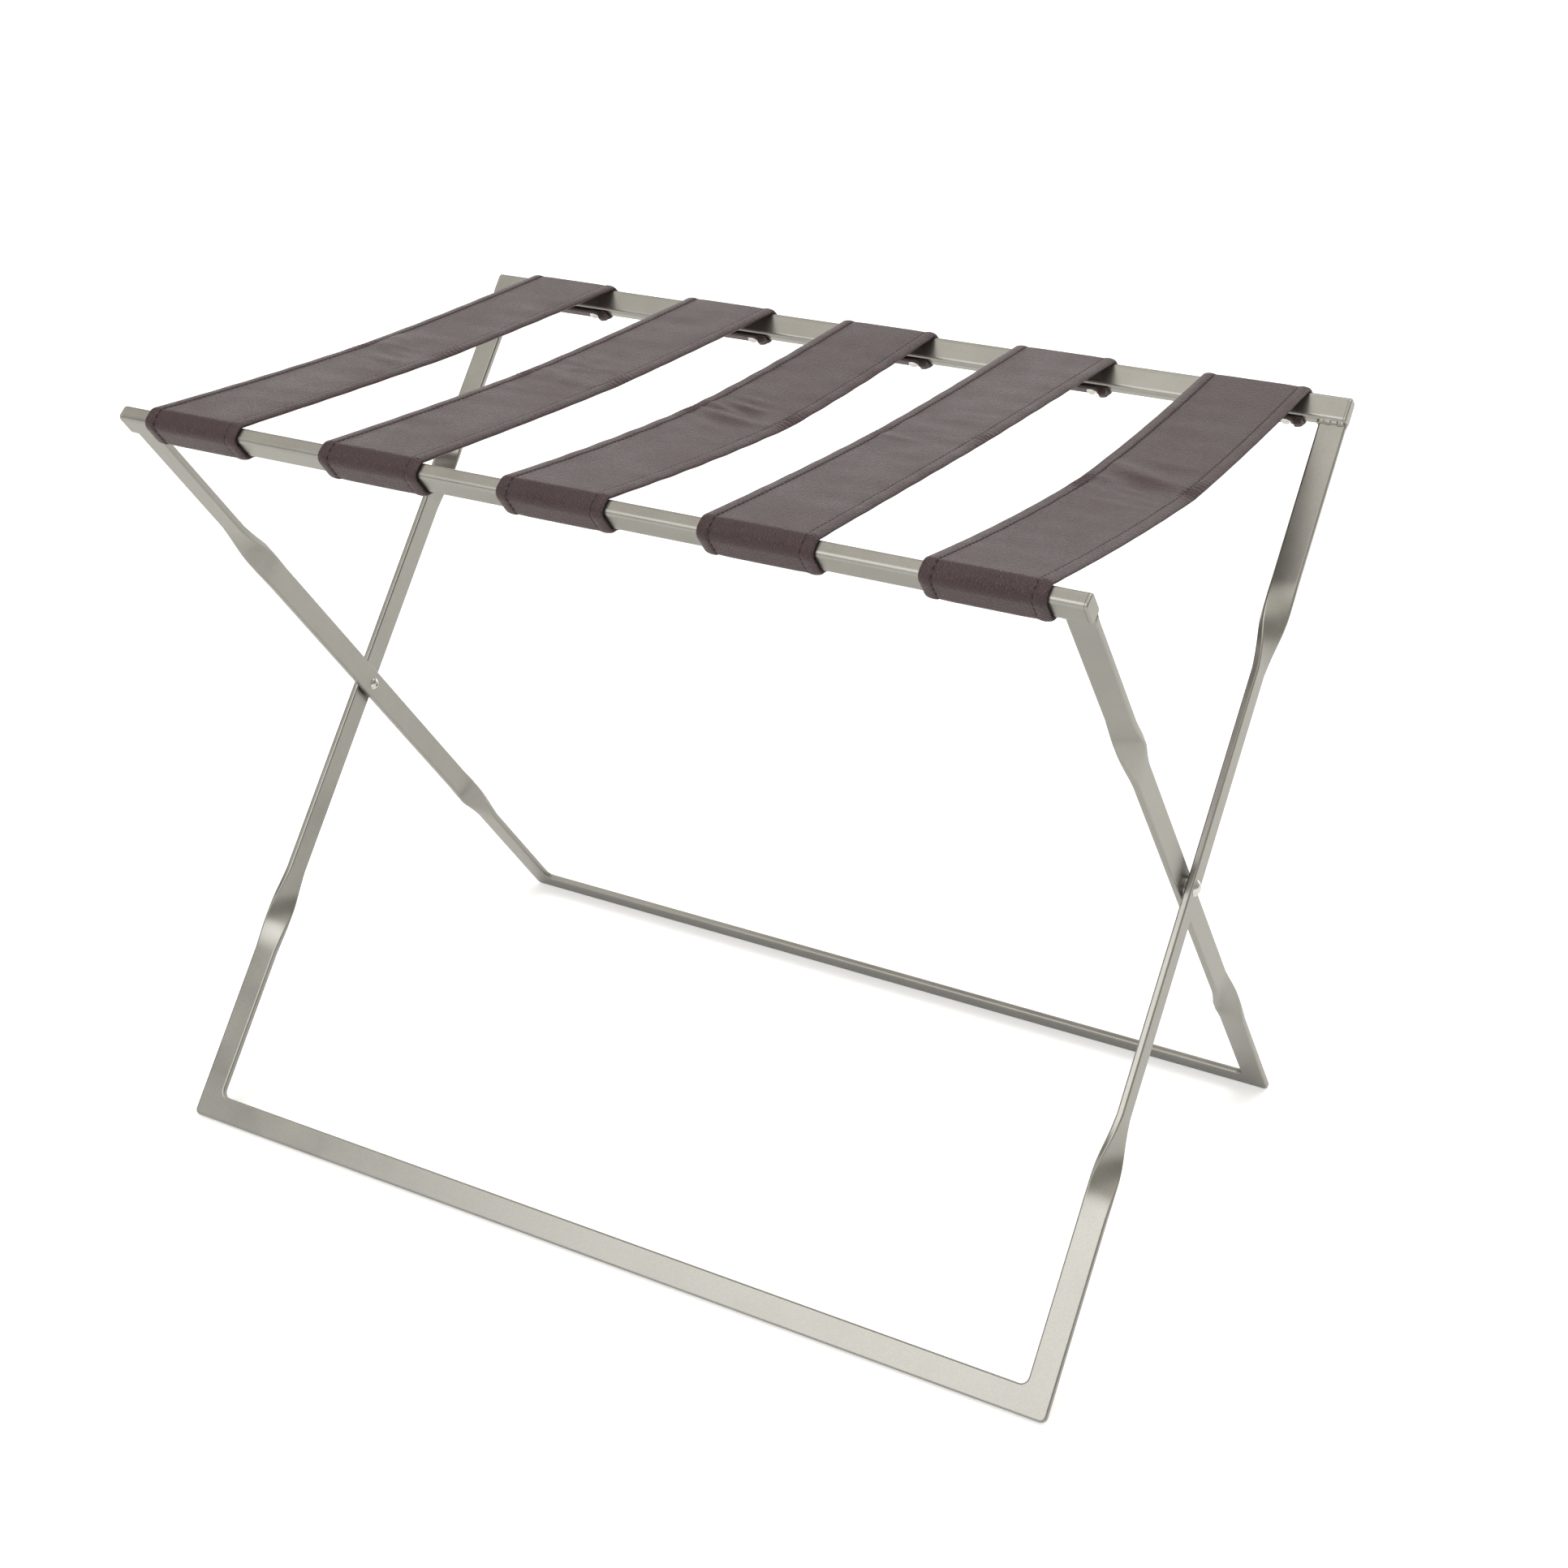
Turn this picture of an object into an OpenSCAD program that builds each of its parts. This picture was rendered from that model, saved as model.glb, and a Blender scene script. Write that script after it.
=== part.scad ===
// Folding luggage rack: two welded bar frames that cross and pivot like scissors,
// with five leather straps slung between their top rails.
// Millimetres, +Z up, +X along the rails. The origin is on the floor, midway between
// the ends and between the front and rear floor rails. The rack is open, as it stands in use.
// Each frame is drawn upright, its floor edge at Z 0 and its front face towards -Y, then
// leaned: the inner frame leans forwards at the top, the outer frame backwards.

/* [Overall size] */
// Width of the outer frame, along the rails
rack_w = 640; // [500:1:800]
// Length of a frame along its legs, from the floor edge to the top of the top rail
leg_len = 642; // [530:1:800]
// Distance along the legs from the floor edge to the pivot
pivot_up = 323; // [260:1:400]
// Lean of each frame from upright, in degrees, with the rack open
lean = 38.7; // [30:0.1:44]

/* [Flat bar] */
// Width of the bar that the legs and floor rails are cut from
bar_w = 17; // [13:0.5:24]
// Thickness of that bar
bar_t = 4.5; // [3:0.1:7]
// Radius along the bar's long edges
bar_r = 1.2; // [0.4:0.1:1.4]
// Length of the untwisted end of a leg, from the rail to the start of the twist
flat_len = 104; // [60:1:120]
// Length of leg in which the bar makes its quarter turn
twist_len = 60; // [40:1:70]
// Radius of the floor rail's outer corners
foot_r = 4; // [1:0.5:8]
// Radius of the weld fillet between a leg and its floor rail
fillet_r = 5; // [2:0.5:8]

/* [Top rail] */
// Width of the rail's tube, along the legs
rail_h = 17; // [13:0.5:30]
// Depth of the rail's tube, across the frame
rail_d = 10; // [8:0.5:20]
// Radius along the tube's long edges
rail_r = 3; // [2:0.5:4]
// Wall of the tube
rail_wall = 1.5; // [1:0.1:1.8]
// Thickness of the plate that closes each end of the tube
cap_t = 2; // [1.5:0.1:4]
// Bevel round the outside of that plate
cap_bevel = 0.8; // [0.2:0.1:1.2]

/* [Side pivots] */
// Gap between the inner and the outer leg
side_gap = 2; // [1:0.1:5]
// Diameter of the barrel that both legs turn on
pin_d = 6; // [5:0.1:8]
// Clearance on diameter between the barrel and what it passes through
pin_play = 0.12; // [0.04:0.02:0.2]
// Diameter of the barrel's domed head, outside the outer leg
pin_head_d = 10.5; // [9:0.5:14]
// Height of the domed head
pin_head_h = 2.6; // [1.5:0.1:4]
// Diameter of the screw that holds the barrel
screw_d = 3.6; // [3:0.1:4]
// Clearance on diameter between that screw and the barrel's bore
screw_play = 0.1; // [0.04:0.02:0.2]
// Length of the screw below its head
screw_len = 8; // [5:0.5:8.5]
// Diameter of the screw's round head, inside the inner leg
screw_head_d = 8.5; // [8:0.5:12]
// Height of the screw's head
screw_head_h = 2.2; // [1.6:0.1:4]
// Width across the flats of the hexagon socket in that head
hex_af = 2.5; // [2:0.5:3]
// Depth of the hexagon socket
hex_depth = 1.3; // [0.8:0.1:1.5]
// Diameter of the washer between the legs
washer_d = 13; // [10:0.5:16]
// Clearance on each flat side of a piece that turns against another
face_play = 0.1; // [0.05:0.05:0.3]

/* [Straps] */
// Number of straps
strap_count = 5; // [3:1:5]
// Width of a strap
strap_w = 70; // [50:1:85]
// Thickness of a strap, two layers of leather
strap_t = 3; // [2:0.1:3.5]
// Gap between the end straps and the inner legs
strap_edge_gap = 4.5; // [2:0.5:20]
// Slope of a strap of average slack from a rail down to its middle, in degrees
strap_fall = 2.2; // [2:0.1:6]
// Half length of the crease at mid span, where a strap folds in two as the rack closes
crease_half = 55; // [54:1:70]
// Clearance between a strap's moving half and the rail or the next stretch of strap
strap_gap = 0.3; // [0.2:0.1:0.5]

/* [Strap screws] */
// Distance from a strap's long edge to its screws
tack_inset = 11; // [8:0.5:20]
// Shank diameter of a strap screw
tack_d = 3; // [2.5:0.1:4]
// Clearance on diameter round that shank
tack_play = 0.1; // [0.04:0.02:0.2]
// Head diameter of a strap screw
tack_head_d = 7; // [6:0.5:9]
// Height of its domed head
tack_head_h = 1.8; // [1:0.1:3]
// Length of shank inside the rail
tack_bite = 3; // [2:0.5:5]

/* [Hidden] */
$fn = 64;
eps = 0.01;
strap_numbers = [1 : strap_count];
// How far each strap lies to the right of its even place, as hand-set straps do
strap_nudge = [1, 4, 0, 0, 1];
// How much more steeply than the average each strap slopes, in degrees
slack_nudge = [-0.7, -0.7, 1, -1.2, 1.8];

inner_w = rack_w - 2 * (bar_t + side_gap);
outer_leg_x = (rack_w - bar_w) / 2;
inner_leg_x = (inner_w - bar_w) / 2;
leg_bottom = bar_w;
leg_top = leg_len - rail_h;
low_twist_z = leg_bottom + flat_len;
high_twist_z = leg_top - flat_len - twist_len;
twist_steps = 12;
corner_steps = 2;

// The rounded lower edge of a leaned floor rail touches the floor
pivot_z = pivot_up * cos(lean) + bar_t / 2 * sin(lean) - bar_r * (cos(lean) + sin(lean) - 1);

// A strap leaves its rail round the tube's upper inner edge, and hangs from that edge's centre
hang_y = rail_d / 2 - rail_r;
hang_z = leg_len - rail_r;
hang_world_y = hang_y * cos(lean) - (hang_z - pivot_up) * sin(lean);
hang_world_z = pivot_z + hang_y * sin(lean) + (hang_z - pivot_up) * cos(lean);
strap_outer_r = rail_r + strap_t;
strap_inner_r = rail_r + strap_gap;
strap_span = inner_w - 2 * (bar_w + strap_edge_gap) - strap_w;
strap_pitch = strap_span / (strap_count - 1);
under_y = -rail_h / 2 - strap_t;

metal = [0.66, 0.65, 0.60];
steel = [0.80, 0.80, 0.80];
leather = [0.30, 0.26, 0.26];

// ---- placing ----

// Leans an upright frame: +1 is the inner frame, -1 the outer frame
module lean_frame(way) {
    translate([0, 0, pivot_z]) rotate([way * lean, 0, 0]) translate([0, 0, -pivot_up]) children();
}

// Draws the rear copy of something that is built for the front
module to_rear() {
    mirror([0, 1, 0]) children();
}

// Turns a drawing in the YZ plane into a solid along X, centred
module along_x(length) {
    rotate([90, 0, 90]) linear_extrude(length, center = true) children();
}

// Places something drawn with its axis along +Z on the pivot line, pointing outwards
// from distance x on the given side: +1 is right, -1 is left
module on_pivot(side, x) {
    translate([side * x, 0, pivot_z]) rotate([0, side * 90, 0]) children();
}

function strap_x(k) = (k - (strap_count + 1) / 2) * strap_pitch + strap_nudge[k - 1];
function fall(k) = strap_fall + slack_nudge[k - 1];
function half_len(k) = (-hang_world_y - strap_outer_r * sin(fall(k))) / cos(fall(k));

// ---- shapes ----

// Rectangle with true round corners, centred
module round_rect(w, h, r) {
    square([w - 2 * r, h], center = true);
    square([w, h - 2 * r], center = true);
    for (x = [-1, 1], y = [-1, 1])
        translate([x * (w / 2 - r), y * (h / 2 - r)]) circle(r);
}

// Spherical cap standing on Z 0
module dome(d, h) {
    ball_r = (d * d / 4 + h * h) / (2 * h);
    intersection() {
        translate([0, 0, h - ball_r]) sphere(ball_r);
        cylinder(r = ball_r, h = h);
    }
}

// Outline of the flat bar's section, anticlockwise, with its width along X
function bar_section() = [
    for (corner = [0 : 3], i = [0 : corner_steps])
        let (
            a = 90 * (corner + i / corner_steps),
            sx = (corner == 0 || corner == 3) ? 1 : -1,
            sy = corner < 2 ? 1 : -1
        )
        [sx * (bar_w / 2 - bar_r) + bar_r * cos(a), sy * (bar_t / 2 - bar_r) + bar_r * sin(a)]
];

function turned(p, a) = [p[0] * cos(a) - p[1] * sin(a), p[0] * sin(a) + p[1] * cos(a)];

// Quarter turn that starts and ends gently, for s from 0 to 1
function twist_angle(s) = 90 * (s - sin(360 * s) / (2 * PI) / 2);

// Heights of a leg's rings, with the turn of the bar at each
function leg_rings() = concat(
    [[leg_bottom, 0]],
    [for (i = [0 : twist_steps]) [low_twist_z + twist_len * i / twist_steps, twist_angle(i / twist_steps)]],
    [for (i = [0 : twist_steps]) [high_twist_z + twist_len * i / twist_steps, twist_angle(1 - i / twist_steps)]],
    [[leg_top, 0]]
);

// ---- frame parts, drawn upright ----

// Leg cut from flat bar: flat at both ends, turned edge-on between its two twists
module twisted_bar() {
    rings = leg_rings();
    section = bar_section();
    sides = len(section);
    last = len(rings) - 1;
    points = [for (ring = rings, p = section) concat(turned(p, ring[1]), ring[0])];
    walls = [
        for (k = [0 : last - 1], i = [0 : sides - 1])
            let (j = (i + 1) % sides, low = k * sides, high = low + sides)
            each [[low + i, high + i, high + j], [low + i, high + j, low + j]]
    ];
    ends = [[for (i = [0 : sides - 1]) i], [for (i = [sides - 1 : -1 : 0]) last * sides + i]];
    polyhedron(points, concat(walls, ends), convexity = 4);
}

module leg(x) {
    color(metal) translate([x, 0, 0]) difference() {
        twisted_bar();
        translate([0, 0, pivot_up]) rotate([0, 90, 0])
            cylinder(d = pin_d + pin_play, h = bar_w, center = true);
    }
}

// Concave weld fillet in the corner between a leg and the floor rail
module fillet(side, inner_x) {
    thick = bar_t - bar_r;
    translate([side * inner_x, thick / 2, bar_w]) rotate([90, 0, 0]) linear_extrude(thick) difference() {
        translate([side > 0 ? -fillet_r : 0, 0]) square(fillet_r);
        translate([-side * fillet_r, fillet_r]) circle(fillet_r);
    }
}

module floor_rail(w) {
    color(metal) {
        intersection() {
            translate([0, 0, bar_w / 2]) along_x(w) round_rect(bar_t, bar_w, bar_r);
            rotate([90, 0, 0]) linear_extrude(bar_t, center = true) union() {
                translate([-w / 2 + foot_r, 0]) square([w - 2 * foot_r, bar_w]);
                translate([-w / 2, foot_r]) square([w, bar_w - foot_r]);
                for (side = [-1, 1]) translate([side * (w / 2 - foot_r), foot_r]) circle(foot_r);
            }
        }
        for (side = [-1, 1]) fillet(side, w / 2 - bar_w);
    }
}

// Tube with its long walls pierced underneath for the strap screws
module top_rail(w) {
    color(metal) difference() {
        translate([0, 0, leg_len - rail_h / 2]) along_x(w - 2 * cap_t) difference() {
            round_rect(rail_d, rail_h, rail_r);
            round_rect(rail_d - 2 * rail_wall, rail_h - 2 * rail_wall, rail_r - rail_wall);
        }
        at_tacks() translate([0, 0, -eps]) cylinder(d = tack_d + tack_play, h = rail_wall + 2 * eps);
    }
}

// Plate that closes the tube's end, bevelled round its outer face
module cap(side, w) {
    color(metal) translate([side * (w / 2 - cap_t), 0, leg_len - rail_h / 2]) rotate([90, 0, side * 90])
        hull() {
            linear_extrude(cap_t - cap_bevel) round_rect(rail_d, rail_h, rail_r, $fn = 32);
            linear_extrude(cap_t)
                round_rect(rail_d - 2 * cap_bevel, rail_h - 2 * cap_bevel, rail_r - cap_bevel, $fn = 32);
        }
}

// Every strap screw's place on a rail's underside, looking up from it
module at_tacks() {
    for (k = strap_numbers, side = [-1, 1])
        translate([strap_x(k) + side * (strap_w / 2 - tack_inset), 0, leg_len - rail_h]) children();
}

// ---- side pivots, outwards along +Z from where each starts ----

module pivot_barrel(side) {
    inner_end = inner_leg_x - bar_t / 2 - face_play;
    length = outer_leg_x + bar_t / 2 - inner_end;
    color(steel) on_pivot(side, inner_end) {
        difference() {
            cylinder(d = pin_d, h = length);
            translate([0, 0, -eps]) cylinder(d = screw_d + screw_play, h = screw_len + eps);
        }
        translate([0, 0, length]) dome(pin_head_d, pin_head_h);
    }
}

module pivot_screw(side) {
    color(steel) on_pivot(side, inner_leg_x - bar_t / 2 - face_play) {
        cylinder(d = screw_d, h = screw_len - face_play);
        mirror([0, 0, 1]) difference() {
            dome(screw_head_d, screw_head_h);
            translate([0, 0, screw_head_h - hex_depth])
                cylinder(d = hex_af / cos(30), h = hex_depth + eps, $fn = 6);
        }
    }
}

module pivot_washer(side) {
    color(metal) on_pivot(side, inner_leg_x + bar_t / 2 + face_play) difference() {
        cylinder(d = washer_d, h = side_gap - 2 * face_play);
        translate([0, 0, -eps]) cylinder(d = pin_d + pin_play, h = side_gap + 2 * eps);
    }
}

// ---- straps, drawn for the front and copied to the rear ----

// The fixed loop: over the rail, down its outer face and under it, to a round end
// level with the rail's inner face
module loop_outline() {
    tail = rail_r - strap_t / 2;
    difference() {
        round_rect(rail_d + 2 * strap_t, rail_h + 2 * strap_t, strap_outer_r);
        round_rect(rail_d, rail_h, rail_r);
        translate([hang_y, -rail_h]) square([rail_d, 2 * rail_h]);
    }
    translate([hang_y - eps, under_y]) square([tail + eps, strap_t]);
    translate([hang_y + tail, under_y + strap_t / 2]) circle(d = strap_t);
}

module strap_loop(k) {
    color(leather) lean_frame(1) difference() {
        translate([strap_x(k), 0, leg_len - rail_h / 2]) along_x(strap_w) loop_outline();
        at_tacks() translate([0, 0, -strap_t - eps])
            cylinder(d = tack_d + tack_play, h = strap_t + 2 * eps);
    }
}

// The moving half: a quarter-round lip over the rail's edge and a flat run inwards,
// drawn with the rail edge's centre at the origin and the run along +X
module half_outline(k) {
    lip = lean + fall(k) - asin(strap_gap / strap_inner_r);
    reach = strap_outer_r / cos(lip / 2);
    intersection() {
        difference() {
            circle(strap_outer_r);
            circle(strap_inner_r);
        }
        polygon([[0, 0], [0, reach], reach * [-sin(lip / 2), cos(lip / 2)], reach * [-sin(lip), cos(lip)]]);
    }
    translate([0, strap_inner_r]) square([half_len(k) - crease_half, strap_outer_r - strap_inner_r]);
}

module strap_half(k) {
    color(leather) translate([strap_x(k), hang_world_y, hang_world_z]) rotate([-fall(k), 0, 0])
        along_x(strap_w) half_outline(k);
}

// The crease at mid span, a shallow V between the two halves
module strap_middle(k) {
    reach = (crease_half - strap_gap) * cos(fall(k));
    rise = (crease_half - strap_gap) * sin(fall(k));
    thick = (strap_outer_r - strap_inner_r) / cos(fall(k));
    low_z = hang_world_z + strap_outer_r * cos(fall(k)) - half_len(k) * sin(fall(k)) - thick;
    color(leather) translate([strap_x(k), 0, low_z]) along_x(strap_w) polygon([
        [-reach, rise], [0, 0], [reach, rise], [reach, rise + thick], [0, thick], [-reach, rise + thick]
    ]);
}

// Domed screws up through the loops' undersides into the rail
module strap_screws() {
    color(steel) lean_frame(1) at_tacks() {
        translate([0, 0, -strap_t]) cylinder(d = tack_d, h = strap_t + tack_bite);
        translate([0, 0, -strap_t]) mirror([0, 0, 1]) dome(tack_head_d, tack_head_h);
    }
}

// ---- nodes ----

lean_frame(1) leg(-inner_leg_x);  // inner_leg_left
lean_frame(1) leg(inner_leg_x);  // inner_leg_right
lean_frame(1) floor_rail(inner_w);  // inner_floor_rail
lean_frame(1) top_rail(inner_w);  // inner_top_rail
lean_frame(1) cap(-1, inner_w);  // inner_cap_left
lean_frame(1) cap(1, inner_w);  // inner_cap_right
strap_screws();  // front_strap_screws
lean_frame(-1) leg(-outer_leg_x);  // outer_leg_left
lean_frame(-1) leg(outer_leg_x);  // outer_leg_right
lean_frame(-1) floor_rail(rack_w);  // outer_floor_rail
lean_frame(-1) top_rail(rack_w);  // outer_top_rail
lean_frame(-1) cap(-1, rack_w);  // outer_cap_left
lean_frame(-1) cap(1, rack_w);  // outer_cap_right
to_rear() strap_screws();  // rear_strap_screws
pivot_barrel(-1);  // pivot_barrel_left
pivot_barrel(1);  // pivot_barrel_right
pivot_screw(-1);  // pivot_screw_left
pivot_screw(1);  // pivot_screw_right
pivot_washer(-1);  // pivot_washer_left
pivot_washer(1);  // pivot_washer_right
for (k = strap_numbers) {
    strap_loop(k);
    strap_half(k);
    strap_middle(k);
    to_rear() strap_half(k);
    to_rear() strap_loop(k);
}
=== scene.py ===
"""Folding luggage rack: satin metal frames with twisted legs and five stitched leather straps."""

import math

import bmesh
import bpy
import numpy as np
from mathutils import Matrix, Vector, noise


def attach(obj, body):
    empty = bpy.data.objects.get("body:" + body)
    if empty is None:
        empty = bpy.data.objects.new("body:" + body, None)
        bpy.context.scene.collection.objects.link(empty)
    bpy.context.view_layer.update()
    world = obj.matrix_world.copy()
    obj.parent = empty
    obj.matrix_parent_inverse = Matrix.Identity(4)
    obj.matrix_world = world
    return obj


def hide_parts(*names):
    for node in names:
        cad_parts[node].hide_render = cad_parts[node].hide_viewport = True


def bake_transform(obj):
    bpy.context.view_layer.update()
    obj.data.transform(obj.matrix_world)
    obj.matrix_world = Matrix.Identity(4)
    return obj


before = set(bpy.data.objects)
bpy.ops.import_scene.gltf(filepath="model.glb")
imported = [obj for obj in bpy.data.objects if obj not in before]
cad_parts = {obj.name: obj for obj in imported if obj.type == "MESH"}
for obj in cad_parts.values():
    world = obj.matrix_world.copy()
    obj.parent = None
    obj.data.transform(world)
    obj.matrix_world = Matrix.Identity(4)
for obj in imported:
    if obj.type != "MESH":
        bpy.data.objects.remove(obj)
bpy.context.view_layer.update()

# ---- sizes in mm, as in the CAD ----

MM = 0.001
LEAN = math.radians(38.7)
LEG_LEN, PIVOT_UP, PIVOT_Z = 642.0, 323.0, 252.999
RACK_W, INNER_W = 640.0, 627.0
BAR_W, BAR_T, BAR_R = 17.0, 4.5, 1.2
# a leg's flat ends, and the length of each quarter twist between them and the pivot
FLAT_LEN, TWIST_LEN = 104.0, 60.0
# the floor rail's outer corners, the fillets inside them, and the height of its two leg stumps
FOOT_R, FILLET_R, CORNER_UP = 4.0, 5.0, 40.0
RAIL_H, RAIL_D, RAIL_R, CAP_T = 17.0, 10.0, 3.0, 2.0
PIN_D = 6.12
STRAP_W, STRAP_T, STRAP_GAP = 70.0, 2.85, 0.15
HEM_W = 7.5
SEAM_X = STRAP_W / 2 - HEM_W
# the upper inner edge of a top rail, which a strap half turns about, in the upright frame
HANG_U, HANG_V = RAIL_D / 2 - RAIL_R, LEG_LEN - RAIL_R
HANG_Y = (HANG_V - PIVOT_UP) * math.sin(LEAN) - HANG_U * math.cos(LEAN)
# For each strap: its middle along the rails, the CAD slope in degrees, and how far its left
# and right edges fall at mid span
STRAPS = {
    1: (-256.0, 1.5, 5.8, 4.4),
    2: (-124.5, 1.5, 5.4, 4.8),
    3: (0.0, 3.2, 10.0, 12.0),
    4: (128.5, 1.0, 5.4, 1.8),
    5: (258.0, 4.0, 13.8, 13.8),
}

SHARP = 40.0
TINY = 1e-6
# how far past a rounded edge a face gets its first points, so that it shades flat
FACE_HOLD = 0.4


def place(side, points):
    """Points of the upright frame, in mm, in the row frame, in metres.

    Upright, x runs along the rails, y towards the other frame and z up the legs. side is 1 for
    the frame whose top leans to the front and -1 for the one whose top leans to the rear."""
    p = np.asarray(points, float)
    y = p[:, 1] * math.cos(LEAN) - (p[:, 2] - PIVOT_UP) * math.sin(LEAN)
    z = PIVOT_Z + p[:, 1] * math.sin(LEAN) + (p[:, 2] - PIVOT_UP) * math.cos(LEAN)
    return np.stack([p[:, 0], side * y, z], 1) * MM


# ---- mesh helpers ----


def piece(name, verts, faces, material, sharp=SHARP, grain=None):
    """A new smooth-shaded object. grain is each point's place in the leather's pattern."""
    mesh = bpy.data.meshes.new(name)
    mesh.from_pydata([tuple(v) for v in verts], [], [tuple(f) for f in faces])
    bm = bmesh.new()
    bm.from_mesh(mesh)
    bmesh.ops.recalc_face_normals(bm, faces=bm.faces)
    bm.to_mesh(mesh)
    bm.free()
    mesh.polygons.foreach_set("use_smooth", [True] * len(mesh.polygons))
    mesh.set_sharp_from_angle(angle=math.radians(sharp))
    if grain is not None:
        at = mesh.attributes.new("grain_at", "FLOAT_VECTOR", "POINT")
        at.data.foreach_set("vector", np.asarray(grain, np.float32).ravel())
    mesh.materials.append(material)
    obj = bpy.data.objects.new(name, mesh)
    bpy.context.scene.collection.objects.link(obj)
    return obj


def loft(rings, closed_ends=True):
    """Faces between rings of equal length, with an n-gon on each end."""
    n = len(rings[0])
    verts = np.concatenate(rings)
    faces = []
    for k in range(len(rings) - 1):
        a, b = k * n, (k + 1) * n
        for i in range(n):
            j = (i + 1) % n
            faces.append((a + i, a + j, b + j, b + i))
    if closed_ends:
        faces.append(tuple(range(n - 1, -1, -1)))
        faces.append(tuple(range((len(rings) - 1) * n, len(rings) * n)))
    return verts, faces


def round_rect(w, h, r, steps=6, hold=0.3):
    """Outline of a round-cornered rectangle, with a point near each corner on every flat side."""
    out = []
    for corner, (sx, sy) in enumerate(((1, 1), (-1, 1), (-1, -1), (1, -1))):
        cx, cy = sx * (w / 2 - r), sy * (h / 2 - r)
        arc = [
            (cx + r * math.cos(a), cy + r * math.sin(a))
            for a in (math.radians(90 * (corner + i / steps)) for i in range(steps + 1))
        ]
        a0, a1 = math.radians(90 * corner - 90), math.radians(90 * corner + 180)
        out.append((arc[0][0] + hold * math.cos(a0), arc[0][1] + hold * math.sin(a0)))
        out += arc
        out.append((arc[-1][0] + hold * math.cos(a1), arc[-1][1] + hold * math.sin(a1)))
    return np.array(out)


def cut_away(obj, cutter):
    """Cut one object out of another for good, and delete the cutter."""
    mod = obj.modifiers.new("bore", "BOOLEAN")
    mod.object, mod.operation, mod.solver = cutter, "DIFFERENCE", "EXACT"
    dg = bpy.context.evaluated_depsgraph_get()
    mesh = bpy.data.meshes.new_from_object(obj.evaluated_get(dg))
    obj.modifiers.clear()
    obj.data = mesh
    mesh.set_sharp_from_angle(angle=math.radians(SHARP))
    bpy.data.objects.remove(cutter)


# ---- material helpers ----

NOISE, VORONOI, MAPPING = "ShaderNodeTexNoise", "ShaderNodeTexVoronoi", "ShaderNodeMapping"
# a noise texture's values lie mostly between these
NOISE_LOW, NOISE_HIGH = 0.3, 0.7


def new_material(name):
    m = bpy.data.materials.new(name)
    m.use_nodes = True
    return m, m.node_tree, m.node_tree.nodes["Principled BSDF"]


def add(tree, kind, **values):
    """A new node. Each value goes to its property of that name or, if it has none, its input."""
    n = tree.nodes.new(kind)
    for k, v in values.items():
        if hasattr(n, k):
            setattr(n, k, v)
        else:
            n.inputs[k.replace("_", " ")].default_value = v
    return n


def add_at(tree, kind, vector, **values):
    """A new texture or mapping node that reads a vector."""
    n = add(tree, kind, **values)
    tree.links.new(vector, n.inputs["Vector"])
    return n


def grey(v):
    return (v, v, v)


def ramp(tree, value, stops):
    """The colour of a ramp with (position, colour) stops."""
    n = add(tree, "ShaderNodeValToRGB")
    while len(n.color_ramp.elements) < len(stops):
        n.color_ramp.elements.new(0.5)
    for e, (pos, col) in zip(n.color_ramp.elements, stops):
        e.position = pos
        e.color = (*col, 1)
    tree.links.new(value, n.inputs["Fac"])
    return n.outputs["Color"]


def mix(tree, kind, factor, a, b):
    """Two colours mixed."""
    n = add(tree, "ShaderNodeMix", data_type="RGBA", blend_type=kind)
    n.inputs[0].default_value = factor
    tree.links.new(a, n.inputs[6])
    tree.links.new(b, n.inputs[7])
    return n.outputs[2]


def vary_roughness(tree, bsdf, value, low, high):
    """Roughness from low to high with a noise."""
    n = add(tree, "ShaderNodeMapRange",
            From_Min=NOISE_LOW, From_Max=NOISE_HIGH, To_Min=low, To_Max=high)
    tree.links.new(value, n.inputs["Value"])
    tree.links.new(n.outputs["Result"], bsdf.inputs["Roughness"])


def add_bump(tree, bsdf, height, strength, distance):
    n = add(tree, "ShaderNodeBump", Strength=strength, Distance=distance)
    tree.links.new(height, n.inputs["Height"])
    tree.links.new(n.outputs["Normal"], bsdf.inputs["Normal"])


# ---- materials ----

NICKEL = (0.385, 0.376, 0.353)


def metal_material(name, tilt, along, base=NICKEL, rough=0.33, streak=1.0):
    """Satin plated metal: fine lines along one axis of the leaning frame, mottling and specks."""
    m, tree, bsdf = new_material(name)
    at = add(tree, "ShaderNodeTexCoord").outputs["Object"]
    turned = add_at(tree, MAPPING, at, vector_type="POINT", Rotation=(tilt, 0, 0))
    at = turned.outputs["Vector"]
    fine, slow = 2600.0, 40.0
    stretched = add_at(tree, MAPPING, at, vector_type="POINT",
                       Scale=tuple(slow if a == along else fine for a in "xyz"))
    lines = add_at(tree, NOISE, stretched.outputs["Vector"], Scale=1.0, Detail=2.0, Roughness=0.6)
    cloud = add_at(tree, NOISE, at, Scale=34.0, Detail=4.0, Roughness=0.55).outputs["Fac"]
    speck = add_at(tree, NOISE, at, Scale=1500.0, Detail=1.0, Roughness=0.5).outputs["Fac"]

    tone = ramp(tree, cloud, [(0.3, tuple(c * 0.94 for c in base)),
                              (0.7, tuple(c * 1.05 for c in base))])
    grit = ramp(tree, speck, [(0.35, grey(0.95)), (0.65, grey(1.04))])
    tree.links.new(mix(tree, "MULTIPLY", 1.0, tone, grit), bsdf.inputs["Base Color"])
    vary_roughness(tree, bsdf, cloud, rough - 0.035, rough + 0.045)
    add_bump(tree, bsdf, lines.outputs["Fac"], 0.05 * streak, 0.0002)
    bsdf.inputs["Metallic"].default_value = 1.0
    return m


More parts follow.
